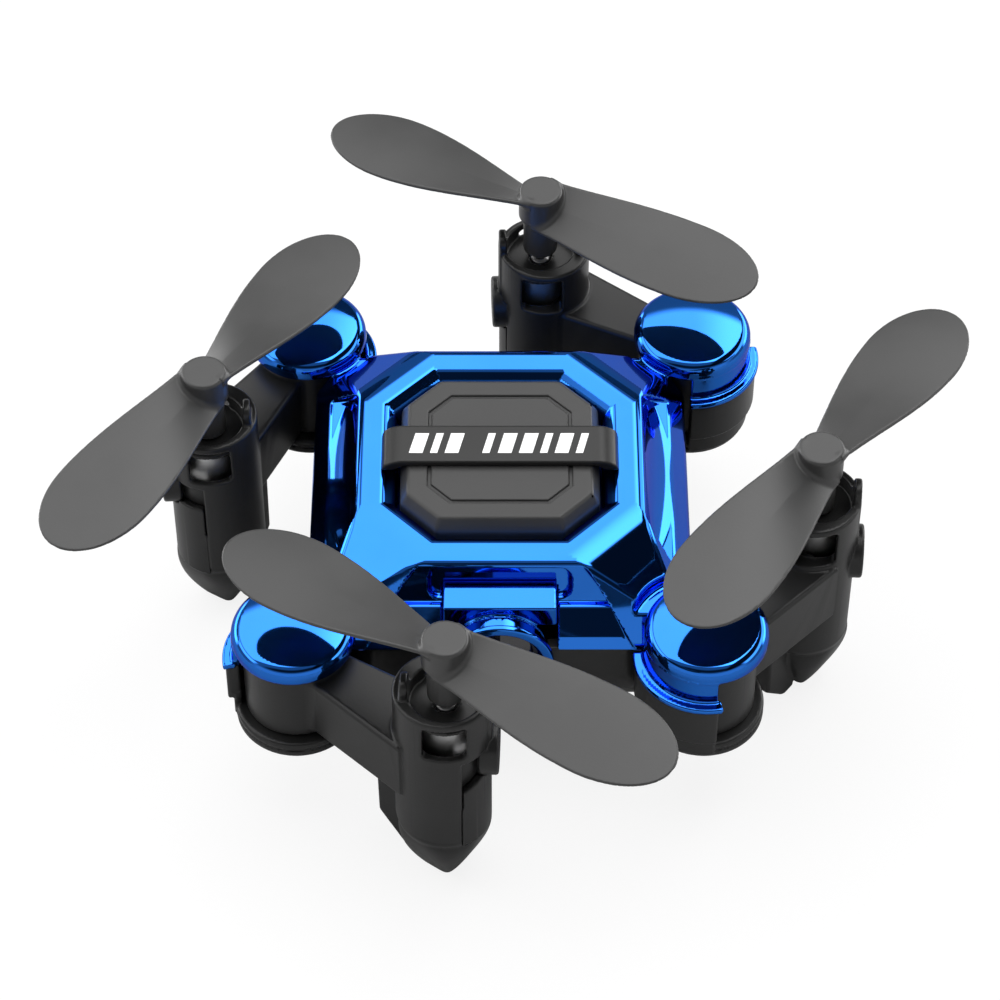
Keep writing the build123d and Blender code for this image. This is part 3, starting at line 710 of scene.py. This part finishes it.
def make_marks():
    """Plain slanted bars in two groups along the strap."""
    bars = [(-9.6, 1.5), (-7.3, 0.8), (-5.7, 1.5),
            (-1.6, 0.8), (0.1, 1.5), (2.4, 1.5), (4.7, 0.8), (6.3, 1.5), (8.6, 0.8)]     # start and width
    slant, half = 0.35, 1.45
    mesh = bpy.data.meshes.new("strap_marks")
    points, faces = [], []
    top, low = RIM_Z + 6.63, RIM_Z + 6.55
    for x, width in bars:
        outline = [(x - slant, -half), (x - slant + width, -half), (x + slant + width, half), (x + slant, half)]
        start = len(points)
        points += [(px * MM, py * MM, low * MM) for px, py in outline]
        points += [(px * MM, py * MM, top * MM) for px, py in outline]
        faces += [[start + k for k in ring] for ring in
                  ((4, 5, 6, 7), (3, 2, 1, 0), (0, 1, 5, 4), (1, 2, 6, 5), (2, 3, 7, 6), (3, 0, 4, 7))]
    mesh.from_pydata(points, [], faces)
    finish_piece(show(bpy.data.objects.new("strap_marks", mesh)), "body", MARK, "dark_plastic")


def paint_cad_nodes():
    """The nodes shown as they come from the CAD: fastenings, boards, battery and shafts."""
    finishes = {"main_board": BOARD, "camera_board": BOARD, "rear_board": BOARD, "board_chips": CHIP,
                "switch": CHIP, "battery": WRAP, "charge_port": STEEL, "shell_screws": STEEL,
                "pivot_screws": STEEL, "pivot_washers": STEEL}
    for name, obj in frame["nodes"].items():
        finish = STEEL if name.startswith("shaft") else finishes.get(name, BLACK)
        obj.data.materials.clear()
        obj.data.materials.append(finish)


# ---- stage ---------------------------------------------------------------------------------------
CAMERA_PITCH, CAMERA_DISTANCE, CAMERA_LENS = 48.787, 0.39563, 129.24     # degrees, metres, millimetres
AIM = Vector((0, -2.4766 * MM, RIM_Z * MM))


def make_floor():
    """Pale paper that the camera sees nearly white, and that the plating mirrors at half strength."""
    mesh = bpy.data.meshes.new("floor")
    size, low = 1.5, cad_box[0][2]
    corners = [(-size, -size, low), (size, -size, low), (size, size, low), (-size, size, low)]
    mesh.from_pydata(corners, [], [(0, 1, 2, 3)])
    obj = show(bpy.data.objects.new("floor", mesh))
    paper = surface("pale_paper", (0.84, 0.84, 0.84), (0.88, 0.88, 0.88), (0.7, 0.85), 1200, 0.00003,
                    patch=20.0, Specular_IOR_Level=0.1)
    tree = paper.node_tree
    glow = node(tree, "Emission")
    feed(tree, glow.inputs["Color"], (1, 1, 1, 1))
    mix = node(tree, "MixShader")
    feed(tree, mix.inputs[0], maths(tree, "MULTIPLY", node(tree, "LightPath").outputs["Is Camera Ray"], 0.85))
    paler = node(tree, "MixShader")
    feed(tree, paler.inputs[0], maths(tree, "MULTIPLY", node(tree, "LightPath").outputs["Is Glossy Ray"], 0.5))
    feed(tree, paler.inputs[1], tree.nodes["Principled BSDF"].outputs[0])
    unlit = node(tree, "Emission")
    feed(tree, unlit.inputs["Strength"], 0.0)
    feed(tree, paler.inputs[2], unlit.outputs[0])
    feed(tree, mix.inputs[1], paler.outputs[0])
    feed(tree, mix.inputs[2], glow.outputs[0])
    feed(tree, tree.nodes["Material Output"].inputs["Surface"], mix.outputs[0])
    obj.data.materials.append(paper)


def make_camera():
    data = bpy.data.cameras.new("camera")
    data.lens, data.sensor_width = CAMERA_LENS, 36.0
    obj = show(bpy.data.objects.new("camera", data))
    pitch = radians(CAMERA_PITCH)
    obj.location = AIM + CAMERA_DISTANCE * Vector((0, -cos(pitch), sin(pitch)))
    obj.rotation_euler = (pi / 2 - pitch, 0, 0)
    bpy.context.scene.camera = obj


def make_studio():
    """Soft boxes painted on the sky, with white behind the object for the camera.

    The roof is a broad box behind and above, brighter to the right. The strips stand low at the back, on both
    sides, and the sides fill in over them. The base is dim light all round, with a dark patch to the upper
    right and another in front, and a little fill low in front.
    """
    world = bpy.data.worlds.new("studio")
    world.use_nodes = True
    bpy.context.scene.world = world
    tree = world.node_tree
    way = node(tree, "SeparateXYZ")
    feed(tree, way.inputs[0], node(tree, "TexCoord").outputs["Generated"])
    x, y, z = way.outputs
    roof = product(tree, ramp(tree, z, 0.56, 0.64), ramp(tree, x, 0.48, 0.42), ramp(tree, y, -0.25, -0.15),
                   ramp(tree, x, 0.04, 0.34, 2.3, 4.4))
    across = maths(tree, "ABSOLUTE", x)
    strips = product(tree, ramp(tree, z, -0.02, 0.01), ramp(tree, z, 0.3, 0.24), ramp(tree, across, 0.42, 0.5),
                     ramp(tree, y, 0.2, 0.4, 0.0, 5.0))
    sides = product(tree, ramp(tree, z, 0.26, 0.34), ramp(tree, z, 0.56, 0.5), ramp(tree, across, 0.5, 0.6),
                    ramp(tree, y, -0.45, -0.3, 0.0, 2.5))
    shade = product(tree, ramp(tree, x, 0.4, 0.5), ramp(tree, z, 0.42, 0.52), 0.3)
    front = product(tree, ramp(tree, y, -0.45, -0.62), ramp(tree, z, 0.82, 0.72), ramp(tree, z, 0.45, 0.55),
                    0.9)
    base = product(tree, maths(tree, "SUBTRACT", 0.32, shade), maths(tree, "SUBTRACT", 1.0, front))
    fill = product(tree, ramp(tree, y, -0.2, -0.6, 0.0, 0.5), ramp(tree, z, 0.45, 0.3))
    base = maths(tree, "ADD", base, fill)
    light = maths(tree, "ADD", maths(tree, "ADD", roof, strips), maths(tree, "ADD", sides, base))
    sky = tree.nodes["Background"]
    feed(tree, sky.inputs["Strength"], light)
    feed(tree, sky.inputs["Color"], (1, 1, 1, 1))
    backdrop = node(tree, "Background")
    feed(tree, backdrop.inputs["Color"], (1.0, 1.0, 1.0, 1))
    mix = node(tree, "MixShader")
    feed(tree, mix.inputs[0], node(tree, "LightPath").outputs["Is Camera Ray"])
    feed(tree, mix.inputs[1], sky.outputs[0])
    feed(tree, mix.inputs[2], backdrop.outputs[0])
    feed(tree, tree.nodes["World Output"].inputs["Surface"], mix.outputs[0])


paint_cad_nodes()
make_body_pieces()
make_arm_pieces()
make_propellers()
make_marks()
make_floor()
make_camera()
make_studio()
bpy.context.scene.view_settings.view_transform = "Standard"
